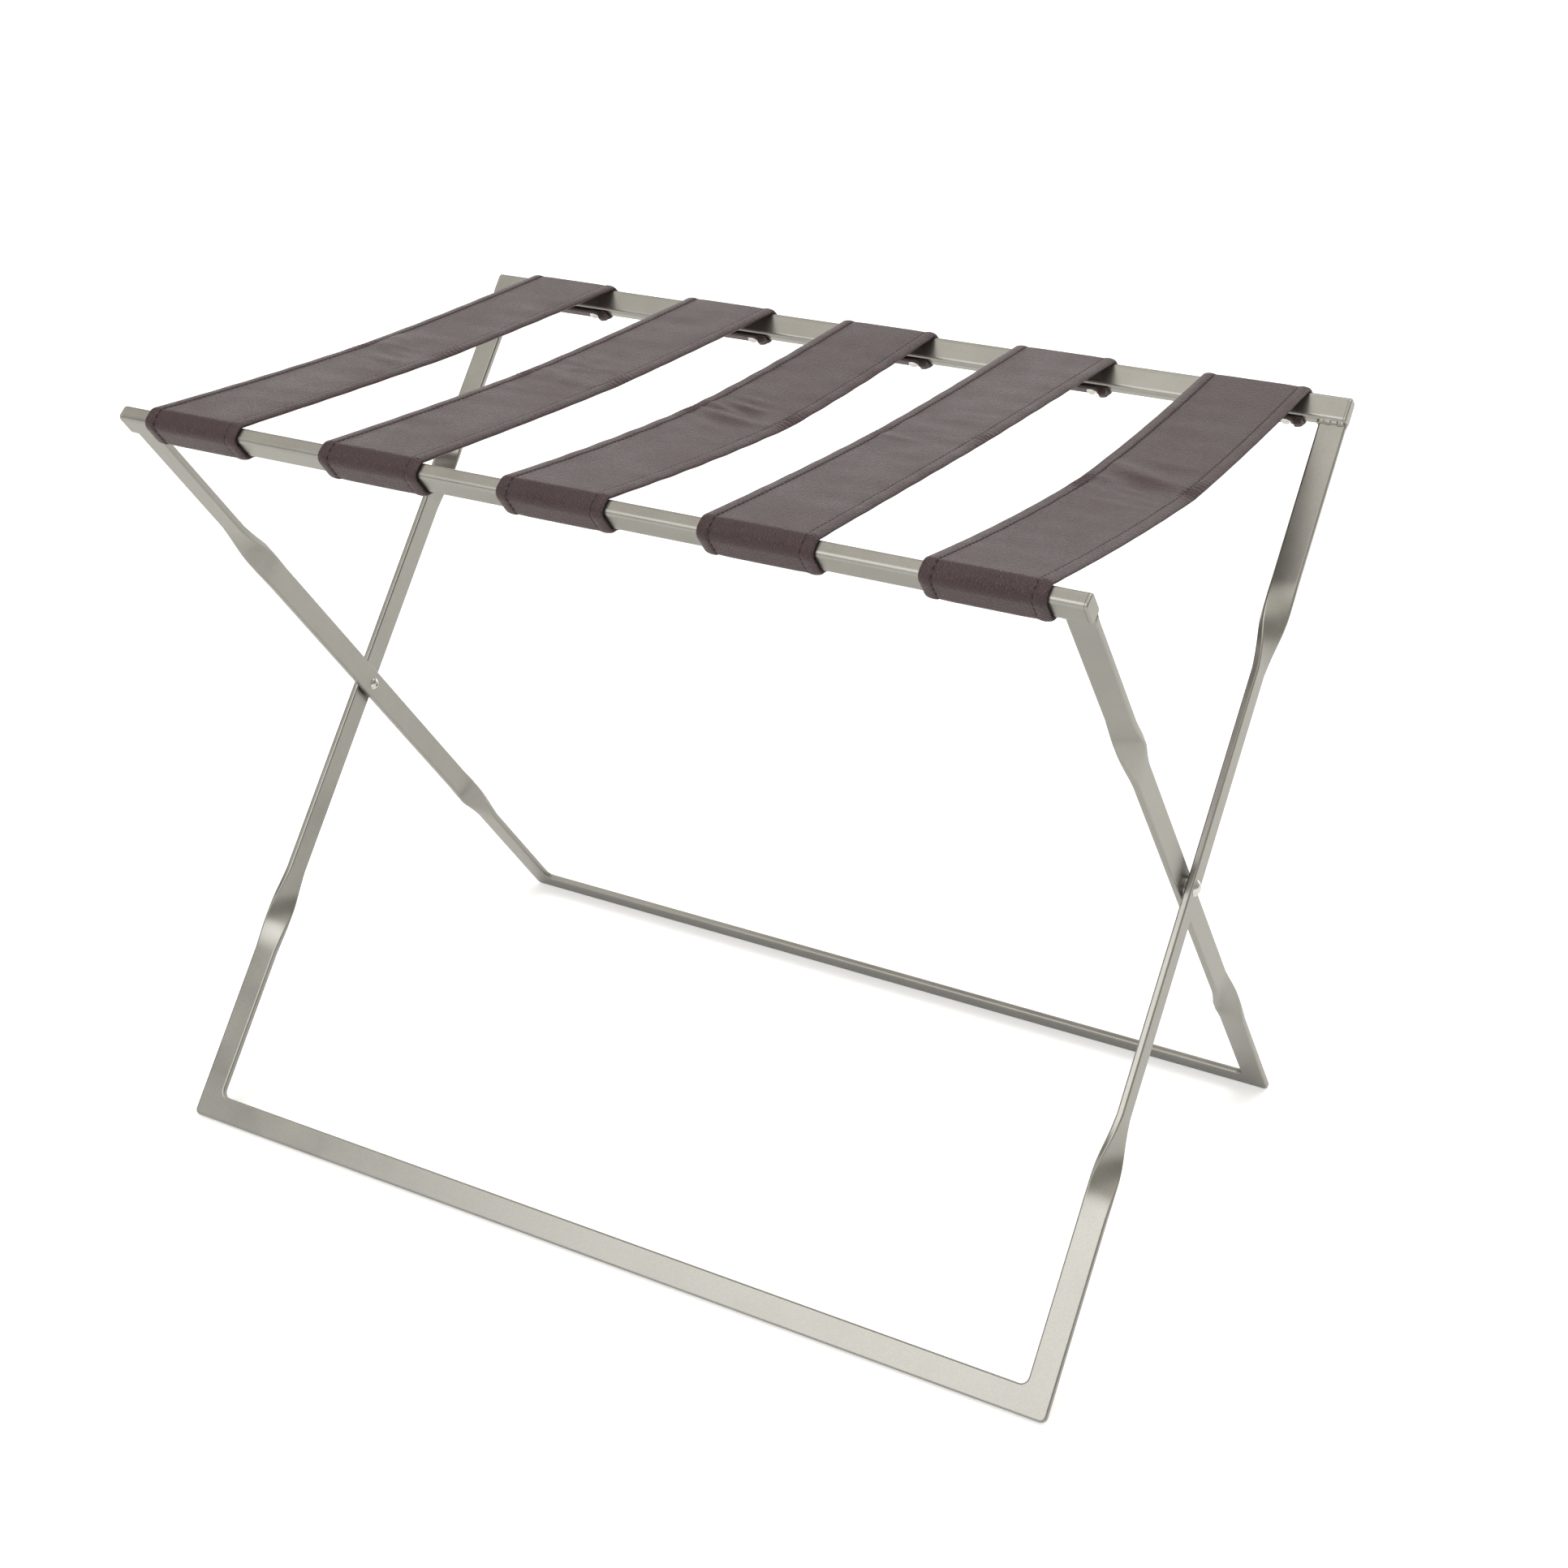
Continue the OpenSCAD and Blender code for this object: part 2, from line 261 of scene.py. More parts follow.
def polished_material(name):
    """Polished nickel with faint smears."""
    m, tree, bsdf = new_material(name)
    at = add(tree, "ShaderNodeTexCoord").outputs["Object"]
    cloud = add_at(tree, NOISE, at, Scale=420.0, Detail=3.0).outputs["Fac"]
    tone = ramp(tree, cloud, [(0.3, (0.66, 0.65, 0.62)), (0.7, (0.78, 0.77, 0.74))])
    tree.links.new(tone, bsdf.inputs["Base Color"])
    vary_roughness(tree, bsdf, cloud, 0.1, 0.2)
    bsdf.inputs["Metallic"].default_value = 1.0
    return m


def leather_material():
    """Dark brown leather: fine pebbles, painted shade in the creases between them, slow changes of
    tone.
    """
    m, tree, bsdf = new_material("strap_leather")
    at = add(tree, "ShaderNodeAttribute", attribute_name="grain_at").outputs["Vector"]
    warp = add_at(tree, NOISE, at, Scale=260.0, Detail=2.0)
    bent = mix(tree, "LINEAR_LIGHT", 0.0006, at, warp.outputs["Color"])
    pebble = add_at(tree, VORONOI, bent, feature="SMOOTH_F1", Scale=1250.0, Smoothness=0.35)
    crease = add_at(tree, VORONOI, bent, feature="DISTANCE_TO_EDGE", Scale=640.0)
    crease = crease.outputs["Distance"]
    cloud = add_at(tree, NOISE, at, Scale=26.0, Detail=5.0, Roughness=0.6).outputs["Fac"]

    tone = ramp(tree, cloud, [(0.28, (0.052, 0.031, 0.034)), (0.72, (0.068, 0.041, 0.045))])
    # painted shade: the base colour is darker in the creases between the pebbles
    crease_shade = ramp(tree, crease, [(0.0, grey(0.72)), (0.3, grey(1.0))])
    tree.links.new(mix(tree, "MULTIPLY", 1.0, tone, crease_shade), bsdf.inputs["Base Color"])
    vary_roughness(tree, bsdf, cloud, 0.33, 0.43)

    groove = ramp(tree, crease, [(0.0, grey(0.0)), (0.3, grey(1.0))])
    height = add(tree, "ShaderNodeMath", operation="MULTIPLY_ADD")
    height.inputs[1].default_value = -0.7
    tree.links.new(pebble.outputs["Distance"], height.inputs[0])
    tree.links.new(groove, height.inputs[2])
    add_bump(tree, bsdf, height.outputs["Value"], 0.8, 0.0003)
    bsdf.inputs["Specular IOR Level"].default_value = 0.5
    bsdf.inputs["Specular Tint"].default_value = (1.0, 0.84, 0.88, 1)
    return m


def thread_material():
    """Dark thread, with its fibres in the tone and the bump."""
    m, tree, bsdf = new_material("strap_thread")
    at = add(tree, "ShaderNodeTexCoord").outputs["Object"]
    fibre = add_at(tree, NOISE, at, Scale=1600.0, Detail=2.0).outputs["Fac"]
    tone = ramp(tree, fibre, [(0.3, (0.018, 0.013, 0.012)), (0.7, (0.034, 0.025, 0.024))])
    tree.links.new(tone, bsdf.inputs["Base Color"])
    add_bump(tree, bsdf, fibre, 0.5, 0.0001)
    bsdf.inputs["Roughness"].default_value = 0.6
    return m


METAL = {
    side: {
        "z": metal_material(f"leg_metal_{tag}", -side * LEAN, "z"),
        "x": metal_material(f"rail_metal_{tag}", -side * LEAN, "x"),
    }
    for side, tag in ((1, "inner"), (-1, "outer"))
}
WELD = metal_material("weld_metal", 0.0, "x", base=(0.37, 0.36, 0.33), rough=0.4, streak=2.0)
WASHER = metal_material("washer_metal", 0.0, "y", rough=0.3)
POLISHED = polished_material("polished_hardware")
LEATHER = leather_material()
THREAD = thread_material()


# ---- frames ----

SIDES = (
    (1, "inner", "inner_frame", INNER_W),
    (-1, "outer", "outer_frame", RACK_W),
)
TWIST_STEPS = 44
# rings this far from a twist, and from the bore's middle, keep the flats between them flat
TWIST_HOLD, BORE_HOLD = 6.0, 14.0
BORE_SIDES, BORE_REACH = 48, 6.0


def twist_angle(s):
    """Turn of the bar at share s of a quarter twist, slower at both ends."""
    return math.radians(90) * (s - math.sin(2 * math.pi * s) / (2 * math.pi) / 2)


def build_leg(side, tag, body, w, hand):
    """Flat bar with two quarter twists and a bore at the pivot, from the stump up to the rail."""
    leg_top = LEG_LEN - RAIL_H
    low, high = BAR_W + FLAT_LEN, leg_top - FLAT_LEN - TWIST_LEN
    shares = [i / TWIST_STEPS for i in range(TWIST_STEPS + 1)]
    middle = (low + TWIST_LEN + TWIST_HOLD, PIVOT_UP - BORE_HOLD, PIVOT_UP + BORE_HOLD,
              high - TWIST_HOLD)
    heights = [(CORNER_UP, 0.0), (low - TWIST_HOLD, 0.0)]
    heights += [(low + TWIST_LEN * i / TWIST_STEPS, twist_angle(s)) for i, s in enumerate(shares)]
    heights += [(z, math.pi / 2) for z in middle]
    heights += [(high + TWIST_LEN * i / TWIST_STEPS, twist_angle(1 - s))
                for i, s in enumerate(shares)]
    heights += [(high + TWIST_LEN + TWIST_HOLD, 0.0), (leg_top, 0.0)]
    section = round_rect(BAR_W, BAR_T, BAR_R)
    x = hand * (w - BAR_W) / 2
    rings = []
    for z, a in heights:
        # the turn has one sense in the row frame, and side -1 mirrors y
        c, s = math.cos(a), math.sin(a) * side
        rings.append(np.stack([x + section[:, 0] * c - section[:, 1] * s,
                               section[:, 0] * s + section[:, 1] * c,
                               np.full(len(section), z)], 1))
    verts, faces = loft(rings)
    name = f"{tag}_leg_{'left' if hand < 0 else 'right'}"
    obj = piece(name + "_bar", place(side, verts), faces, METAL[side]["z"])

    a = np.linspace(0, 2 * math.pi, BORE_SIDES, endpoint=False)
    ring = np.stack([np.zeros(BORE_SIDES), PIN_D / 2 * np.cos(a), PIN_D / 2 * np.sin(a)], 1)
    verts, faces = loft([ring + (x - BORE_REACH, 0, 0), ring + (x + BORE_REACH, 0, 0)])
    verts = verts + (0, 0, PIVOT_UP)
    cut_away(obj, piece("bore_cutter", place(side, verts), faces, METAL[side]["z"]))
    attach(obj, body)
    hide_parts(name)


def floor_outline(w):
    """Outline of the floor rail with the short stumps of both legs, in the frame's plane."""
    shortest, longest, hold = 3.0, 25.0, 0.5

    def arc(cx, cy, r, a0, a1, steps=8):
        angles = [math.radians(a0 + (a1 - a0) * i / steps) for i in range(steps + 1)]
        return [(cx + r * math.cos(a), cy + r * math.sin(a)) for a in angles]

    h, inner = w / 2, w / 2 - BAR_W
    corners = [
        [(-h, CORNER_UP)],
        arc(-h + FOOT_R, FOOT_R, FOOT_R, 180, 270),
        arc(h - FOOT_R, FOOT_R, FOOT_R, 270, 360),
        [(h, CORNER_UP)],
        [(inner, CORNER_UP)],
        arc(inner - FILLET_R, BAR_W + FILLET_R, FILLET_R, 0, -90),
        arc(-inner + FILLET_R, BAR_W + FILLET_R, FILLET_R, 270, 180),
        [(-inner, CORNER_UP)],
    ]
    out = []
    for k, corner in enumerate(corners):
        out += corner
        # points along each straight side, and one close to either end of it
        a, b = np.array(corner[-1]), np.array(corners[(k + 1) % len(corners)][0])
        d = np.linalg.norm(b - a)
        if d > shortest:
            between = np.linspace(0, d, max(2, round(d / longest)) + 1)[1:-1]
            out += [tuple(a + (b - a) * t / d) for t in (hold, *between, d - hold)]
    return np.array(out)


def left_normal(d):
    d = d / np.linalg.norm(d, axis=1)[:, None]
    return np.stack([-d[:, 1], d[:, 0]], 1)


def build_floor_rail(side, tag, body, w):
    """Flat bar on its edge, one piece with the stumps that the legs stand on."""
    line = floor_outline(w)
    before, after = np.roll(line, 1, 0), np.roll(line, -1, 0)
    n = left_normal(line - before) + left_normal(after - line)
    n /= np.linalg.norm(n, axis=1)[:, None]
    cos_half = (n * left_normal(after - line)).sum(1)
    n /= cos_half[:, None]
    # on the stumps' cut ends the edge rounding runs straight on into the leg
    for i in np.flatnonzero(np.abs(line[:, 1] - CORNER_UP) < TINY):
        x = line[i, 0]
        outer = abs(abs(x) - w / 2) < TINY
        inner = abs(abs(x) - (w / 2 - BAR_W)) < TINY
        if outer or inner:
            n[i] = (-np.sign(x) if outer else np.sign(x), 0)
        else:
            mid = np.sign(x) * (w - BAR_W) / 2
            n[i] = ((mid - x) / (BAR_W / 2), 0)
    steps = 6
    flat = BAR_T / 2 - BAR_R
    profile = [(-BAR_T / 2, BAR_R + FACE_HOLD)]
    profile += [(-flat - BAR_R * math.cos(a), BAR_R * (1 - math.sin(a)))
                for a in (math.pi / 2 * i / steps for i in range(steps + 1))]
    profile += [(-y, inset) for y, inset in reversed(profile)]
    rings = []
    for y, inset in profile:
        p = line + n * inset
        rings.append(np.stack([p[:, 0], np.full(len(p), y), p[:, 1]], 1))
    verts, faces = loft(rings)
    obj = piece(f"{tag}_floor_rail_bar", place(side, verts), faces, METAL[side]["x"])
    bm = bmesh.new()
    bm.from_mesh(obj.data)
    bmesh.ops.triangulate(bm, faces=[f for f in bm.faces if len(f.verts) > 4])
    bm.to_mesh(obj.data)
    bm.free()
    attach(obj, body)
    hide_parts(f"{tag}_floor_rail")


# how far out from the tube and how far in from its outline: the fine seam where a plate meets it
CAP_SEAM = [(0.0, FACE_HOLD), (0.0, 0.14), (0.12, 0.03), (0.3, 0.0)]
CAP_RIM, CAP_STEPS = 1.0, 5


def build_cap(side, tag, body, w, hand):
    """Plate welded on the rail's end: a fine seam against the tube, and a rounded rim."""
    profile = CAP_SEAM + [(CAP_T - CAP_RIM, 0.0)]
    profile += [(CAP_T - CAP_RIM + CAP_RIM * math.sin(a), CAP_RIM * (1 - math.cos(a)))
                for a in (math.pi / 2 * i / CAP_STEPS for i in range(1, CAP_STEPS + 1))]
    profile += [(CAP_T, CAP_RIM + FACE_HOLD)]
    rings = []
    for out, inset in profile:
        o = round_rect(RAIL_D - 2 * inset, RAIL_H - 2 * inset, RAIL_R - inset, steps=8)
        x = hand * (w / 2 - CAP_T + out)
        rings.append(np.stack([np.full(len(o), x), o[:, 0], o[:, 1] + LEG_LEN - RAIL_H / 2], 1))
    verts, faces = loft(rings)
    name = f"{tag}_cap_{'left' if hand < 0 else 'right'}"
    obj = piece(name + "_plate", place(side, verts), faces, METAL[side]["x"], sharp=50)
    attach(obj, body)
    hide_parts(name)


# the bead's mean reach over the rail, its drop down the leg, and its rise up the rail's sides
WELD_REACH, WELD_DROP, WELD_RISE = 1.5, 1.9, 0.9
# how deep its hidden sides lie, and how far it may stand out past the rail's end
WELD_ROOT, WELD_TRIM = 0.3, 0.25
WELD_STEP, WELD_ROWS, WELD_ROUND = 0.55, 7, 0.8
LUMP_SCALE, RIPPLE_LEN, RIPPLE = 0.55, 0.9, 0.26


def build_weld(side, tag, body, w, hand, seed):
    """Uneven bead round the leg where it meets the rail's underside."""
    z0 = LEG_LEN - RAIL_H
    x0 = hand * (w - BAR_W) / 2
    outline = round_rect(BAR_W, BAR_T, BAR_R, steps=4)
    dense = []
    for a, b in zip(outline, np.roll(outline, -1, 0)):
        count = max(1, round(np.linalg.norm(b - a) / WELD_STEP))
        dense += [a + (b - a) * t / count for t in range(count)]
    dense = np.array(dense)
    core = np.array([BAR_W / 2 - BAR_R, BAR_T / 2 - BAR_R])
    away = dense - np.clip(dense, -core, core)
    away /= np.linalg.norm(away, axis=1)[:, None]
    rings = []
    for j in range(WELD_ROWS + 1):
        a = math.pi / 2 * j / WELD_ROWS
        pts = []
        for i, (p, d) in enumerate(zip(dense, away)):
            q = Vector((p[0] * LUMP_SCALE + seed * 7.3, p[1] * LUMP_SCALE, 0.0))
            lump = noise.noise(q) + 0.5 * noise.noise(q * 2.7)
            ripple = RIPPLE * math.sin(i * WELD_STEP / RIPPLE_LEN)
            reach = WELD_REACH + 0.55 * lump + 0.12 * ripple
            drop = WELD_DROP + 0.8 * lump + 0.15 * ripple
            rise = WELD_RISE if abs(d[1]) > 0.5 else 0.0
            out = reach * math.sin(a) ** WELD_ROUND if j else -WELD_ROOT
            if d[0] * hand > 0.2:
                out = min(out, WELD_TRIM)
            pts.append((x0 + p[0] + d[0] * out, p[1] + d[1] * out,
                        z0 - drop * math.cos(a) ** WELD_ROUND + (rise * math.sin(a) ** 2)))
        rings.append(np.array(pts))
    rings.append(np.stack([x0 + dense[:, 0] - away[:, 0] * WELD_ROOT,
                           dense[:, 1] - away[:, 1] * WELD_ROOT,
                           np.full(len(dense), z0 + 0.1)], 1))
    verts, faces = loft(rings, closed_ends=False)
    # the last ring joins the first, inside the metal
    n = len(dense)
    last = (len(rings) - 1) * n
    faces += [(last + i, last + (i + 1) % n, (i + 1) % n, i) for i in range(n)]
    name = f"{tag}_weld_{'left' if hand < 0 else 'right'}"
    obj = piece(name, place(side, verts), faces, WELD, sharp=70)
    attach(obj, body)


for side, tag, body, w in SIDES:
    build_floor_rail(side, tag, body, w)
    for hand in (-1, 1):
        build_leg(side, tag, body, w, hand)
        build_cap(side, tag, body, w, hand)
        build_weld(side, tag, body, w, hand, side * 2 + hand)

# CAD nodes that stay in view, each with its material
KEPT = {
    "inner_top_rail": METAL[1]["x"],
    "outer_top_rail": METAL[-1]["x"],
    "pivot_washer_left": WASHER,
    "pivot_washer_right": WASHER,
    "pivot_barrel_left": POLISHED,
    "pivot_barrel_right": POLISHED,
    "pivot_screw_left": POLISHED,
    "pivot_screw_right": POLISHED,
    "front_strap_screws": POLISHED,
    "rear_strap_screws": POLISHED,
}
for name, material in KEPT.items():
    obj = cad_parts[name]
    obj.data.materials.clear()
    obj.data.materials.append(material)


# ---- straps ----

# mm between rows of points: under and over the rail, behind it, along the run, near mid span
LAP_STEP, BACK_STEP, RUN_STEP, FINE_STEP = 0.8, 1.0, 1.6, 0.75
FINE_LEN = 36.0
# how far short of the rail's inner face the strap's end lies
END_IN = 0.2
# columns of points, in mm in from either edge, and how many lie evenly spaced between them
EDGE_OFFSETS = [0, 0.12, 0.45, 0.95, 1.5, 2.4, 3.4, 4.6, 5.6,
                6.3, 6.8, 7.15, 7.5, 7.85, 8.2, 8.8, 9.8, 11.4]
INNER_EDGE, INNER_COUNT = STRAP_W / 2 - 13.5, 16
COLUMNS = np.array(
    [-STRAP_W / 2 + a for a in EDGE_OFFSETS]
    + list(np.linspace(-INNER_EDGE, INNER_EDGE, INNER_COUNT))
    + [STRAP_W / 2 - a for a in reversed(EDGE_OFFSETS)]
)


def strap_path(slope):
    """Inner face of a strap from its end under the rail to mid span, in the upright frame's plane.

    Returns points (y, z), outward normals, lengths along the leather's middle, each point's share
    of the run to mid span, and that run's length, in mm."""
    g = STRAP_GAP
    hy, hz = HANG_U, RAIL_H / 2 - RAIL_R
    turn = LEAN + math.radians(slope)
    outer_r = RAIL_R + g + STRAP_T
    half = (HANG_Y - outer_r * math.sin(math.radians(slope))) / math.cos(math.radians(slope))
    pts, nrm = [], []

    def line(a, b, n, step):
        count = max(1, round(math.dist(a, b) / step))
        for i in range(count):
            t = i / count
            pts.append((a[0] + (b[0] - a[0]) * t, a[1] + (b[1] - a[1]) * t))
            nrm.append(n)

    def bend(c, a0, a1, steps):
        for i in range(steps):
            a = math.radians(a0 + (a1 - a0) * i / steps)
            nrm.append((math.cos(a), math.sin(a)))
            pts.append((c[0] + (RAIL_R + g) * math.cos(a), c[1] + (RAIL_R + g) * math.sin(a)))

    line((RAIL_D / 2 - END_IN, -RAIL_H / 2 - g), (-hy, -RAIL_H / 2 - g), (0, -1), LAP_STEP)
    bend((-hy, -hz), -90, -180, 9)
    line((-RAIL_D / 2 - g, -hz), (-RAIL_D / 2 - g, hz), (-1, 0), BACK_STEP)
    bend((-hy, hz), 180, 90, 9)
    line((-hy, RAIL_H / 2 + g), (hy, RAIL_H / 2 + g), (0, 1), LAP_STEP)
    bend((hy, hz), 90, 90 - math.degrees(turn), 7)
    lip = len(pts)
    n = (math.sin(turn), math.cos(turn))
    start = (hy + (RAIL_R + g) * n[0], hz + (RAIL_R + g) * n[1])
    end = (start[0] + half * math.cos(turn), start[1] - half * math.sin(turn))
    fine = (end[0] - FINE_LEN * math.cos(turn), end[1] + FINE_LEN * math.sin(turn))
    line(start, fine, n, RUN_STEP)
    line(fine, end, n, FINE_STEP)
    pts.append(end)
    nrm.append(n)
    pts, nrm = np.array(pts), np.array(nrm)
    centre = pts + nrm * STRAP_T / 2
    s = np.concatenate([[0], np.cumsum(np.linalg.norm(np.diff(centre, axis=0), axis=1))])
    pts[:, 1] += LEG_LEN - RAIL_H / 2
    run = np.clip((s - s[lip]) / (s[-1] - s[lip]), 0, None)
    run[:lip] = 0
    return pts, nrm, s, run, half


def smooth(a, b, x):
    t = np.clip((x - a) / (b - a), 0, 1)
    return t * t * (3 - 2 * t)


def slack(k):
    """How far strap k falls at mid span, between its edges."""
    return (STRAPS[k][2] + STRAPS[k][3]) / 2


FOLD_REACH, FOLD_PITCH, FOLD_FADE = 56, 14.0, 40


def folds(k, x, y):
    """Height in mm of the soft wrinkles near mid span: x across the strap, y in the row frame."""
    rng = np.random.default_rng(40 + k)
    out = np.zeros_like(x)
    size = 0.75 + 0.12 * slack(k)
    for row in np.arange(-FOLD_REACH, FOLD_REACH + 2, FOLD_PITCH):
        cy = row + rng.uniform(-3.5, 3.5)
        angle = rng.uniform(-0.45, 0.0)
        width = rng.uniform(4.5, 8.5)
        amp = rng.uniform(0.4, 1.0) * size * math.exp(-((cy / FOLD_FADE) ** 2))
        cx = rng.uniform(-20, 10)
        span = rng.uniform(13, 26)
        across = (y - cy) - (x - cx) * angle - 0.006 * (x - cx) ** 2
        out += amp * np.exp(-(across / width) ** 2) * np.exp(-((x - cx) / span) ** 2)
    # the doubled hems are stiffer
    return out * (1 - 0.75 * smooth(SEAM_X - 2, SEAM_X + 2, np.abs(x)))


PUCKER_PITCH, PUCKER_REACH, PUCKER_SHIFT = 4.3, 15, 6


def puckers(k, x, y):
    """Fine ridges across the hems near mid span, where the leather is gathered by its stitches."""
    hem = smooth(SEAM_X - 4.5, SEAM_X + 1.5, np.abs(x))
    near = np.exp(-((y - PUCKER_SHIFT * np.sign(x)) / PUCKER_REACH) ** 2)
    slant = 0.25 * (np.abs(x) - STRAP_W / 2)
    turns = (y + slant) / PUCKER_PITCH + 0.12 * np.sin(y * 0.37 + k)
    wave = np.sin(2 * math.pi * turns + np.sign(x))
    return hem * near * wave * (0.14 + 0.017 * slack(k))


# the hems' crown and the drop to their edge, the stitch groove, and the panel between the hems
HEM_CROWN, EDGE_DROP = 0.5, 0.7
GROOVE_TOP, GROOVE_UNDER, GROOVE_W = 0.5, 0.3, 0.5
PANEL_DROP, PANEL_RISE, PANEL_EASE = -0.28, 0.2, 9
KNUCKLE, KNUCKLE_VARY = 2.3, 0.4
# how round the strap hangs, how much narrower it gets, and its slow waves
BOW, WAIST, WAVE = 0.55, 0.006, 0.16


class Strap:
    """One half of a strap, as a surface that gives a point for any place on it."""

    def __init__(self, side, k):
        self.side, self.k = side, k
        self.x0, self.slope, self.fall_left, self.fall_right = STRAPS[k]
        self.pts, self.nrm, self.s, self.run, self.half = strap_path(self.slope)
        self.cad_fall = self.half * math.sin(math.radians(self.slope))

    def face(self, x, y, s, t, top):
        """Height in mm of the top or the under face, over the inner side of a straight strap."""
        mid = STRAP_T / 2
        a = STRAP_W / 2 - np.abs(x)
        edge = np.clip(1 - a / mid, 0, 1)
        half_t = mid * np.sqrt(1 - edge**2)
        hem = np.clip(a / HEM_W, 0, 1)
        crown = HEM_CROWN * np.sin(math.pi * hem) - EDGE_DROP * (1 - hem) ** 1.2
        crown = np.where(a < HEM_W, crown, 0.0)
        seam = np.exp(-((a - HEM_W) / GROOVE_W) ** 2)
        if top:
            panel = PANEL_DROP + PANEL_RISE * smooth(HEM_W, HEM_W + PANEL_EASE, a)
            h = mid + half_t + crown * (half_t / mid) - GROOVE_TOP * seam
            h = h + np.where(a > HEM_W, panel, 0.0) * smooth(0, 2, a - HEM_W + 1)
            h = h + puckers(self.k, x, y) * (t > 0)
            # the doubled hems end in a knuckle under the rail
            knuckle = smooth(6.2, 4.6, a) * smooth(8.6, 5.4, s)
            h = h + knuckle * (KNUCKLE + KNUCKLE_VARY * math.sin(self.k * 2.1 + self.side))
        else:
            h = mid - half_t + GROOVE_UNDER * seam
            h = h - 0.5 * crown * smooth(0.03, 0.08, t)
        end = np.clip(1 - s / mid, 0, 1)
        return mid + (h - mid) * np.maximum(np.sqrt(1 - end**2), 0.04)

    def hang(self, h, x, y, s, t):
        """The same height once the strap hangs its own way and not on the CAD's straight slope."""
        fall = self.fall_left + (self.fall_right - self.fall_left) * (x / STRAP_W + 0.5)
        bow = BOW * fall * t * (1 - t)
        h = h - (fall - self.cad_fall) * t - bow
        h = h + folds(self.k, x, y) * smooth(0.02, 0.2, t)
        wave = WAVE * np.sin(0.21 * s + self.k * 1.7) * np.sin(x * 0.045 + self.k)
        return h + wave * smooth(0.05, 0.3, t)

    def at(self, x, s, top):
        """Row frame position in metres of places x across and s along, on one of the faces."""
        x, s = np.asarray(x, float), np.asarray(s, float)
        p = np.stack([np.interp(s, self.s, self.pts[:, i]) for i in range(2)], -1)
        n = np.stack([np.interp(s, self.s, self.nrm[:, i]) for i in range(2)], -1)
        n /= np.linalg.norm(n, axis=-1)[..., None]
        t = np.interp(s, self.s, self.run)
        y = self.side * (-(1 - t) * HANG_Y)
        h = self.hang(self.face(x, y, s, t, top), x, y, s, t)
        x = np.broadcast_to(x * (1 - WAIST * np.sin(math.pi * t)) + self.x0, p.shape[:-1])
        flat = np.stack([x, p[..., 0] + n[..., 0] * h, p[..., 1] + n[..., 1] * h], -1)
        return place(self.side, flat.reshape(-1, 3)).reshape(flat.shape)


def blend_half(obj):
    """Bakes the object's transform into its mesh; nothing turns the run with its CAD half."""
    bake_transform(obj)


# how far the rim is drawn in, and how far apart halves, straps and faces lie in the leather
RIM_IN = 0.4
GRAIN_HALF, GRAIN_STRAP, GRAIN_FACE = 400, 100, 0.05


def build_strap(side, k):
    """One closed leather surface and its stitches, for one half of strap k."""
    strap = Strap(side, k)
    end = "front" if side > 0 else "rear"
    xg, sg = np.meshgrid(COLUMNS, strap.s)
    top, under = strap.at(xg, sg, True), strap.at(xg, sg, False)
    m, n = xg.shape
    # the two faces share their rim
    rim = (top[:, [0, -1]] + under[:, [0, -1]]) / 2
    rim[..., 0] += np.array([RIM_IN, -RIM_IN]) * MM
    top[:, [0, -1]] = rim
    verts = np.concatenate([top.reshape(-1, 3), under[:, 1:-1].reshape(-1, 3)])

    def t_id(j, i):
        return j * n + i

    def u_id(j, i):
        return t_id(j, i) if i in (0, n - 1) else m * n + j * (n - 2) + i - 1

    faces = []
    for j in range(m - 1):
        for i in range(n - 1):
            faces.append((t_id(j, i), t_id(j, i + 1), t_id(j + 1, i + 1), t_id(j + 1, i)))
            faces.append((u_id(j, i), u_id(j + 1, i), u_id(j + 1, i + 1), u_id(j, i + 1)))
    # both ends are closed, with triangles where the two faces share a point
    for j in (0, m - 1):
        for i in range(n - 1):
            q = [t_id(j, i), t_id(j, i + 1), u_id(j, i + 1), u_id(j, i)]
            q = [v for v, keep in zip(q, (True, True, i + 1 < n - 1, i > 0)) if keep]
            faces.append(tuple(q if j else reversed(q)))
    flat_top = np.stack([xg + GRAIN_STRAP * k, sg + (0 if side > 0 else GRAIN_HALF),
                         np.zeros_like(xg)], -1) * MM
    flat_under = flat_top + (0, 0, GRAIN_FACE)
    grain = np.concatenate([flat_top.reshape(-1, 3), flat_under[:, 1:-1].reshape(-1, 3)])
    obj = piece(f"strap_{k}_{end}", verts, faces, LEATHER, sharp=65, grain=grain)

    stitches = build_stitches(strap, f"strap_{k}_{end}_stitches")
    names = [f"strap_{k}_{end}_loop", f"strap_{k}_{end}_half"]
    if side < 0:
        names.append(f"strap_{k}_middle")
    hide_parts(*names)
    for o in (obj, stitches):
        blend_half(o)


STITCH_PITCH, STITCH_LEN, STITCH_R, STITCH_SIDES = 4.2, 3.1, 0.3, 6
STITCH_FLAT = 0.85
# along a stitch: the share of its length, its lift off the leather and its girth
STITCH_ALONG = np.array([0.0, 0.12, 0.5, 0.88, 1.0])
STITCH_LIFT = np.array([-0.25, 0.08, 0.28, 0.08, -0.25])
STITCH_GIRTH = np.array([0.45, 0.95, 1.0, 0.95, 0.45])


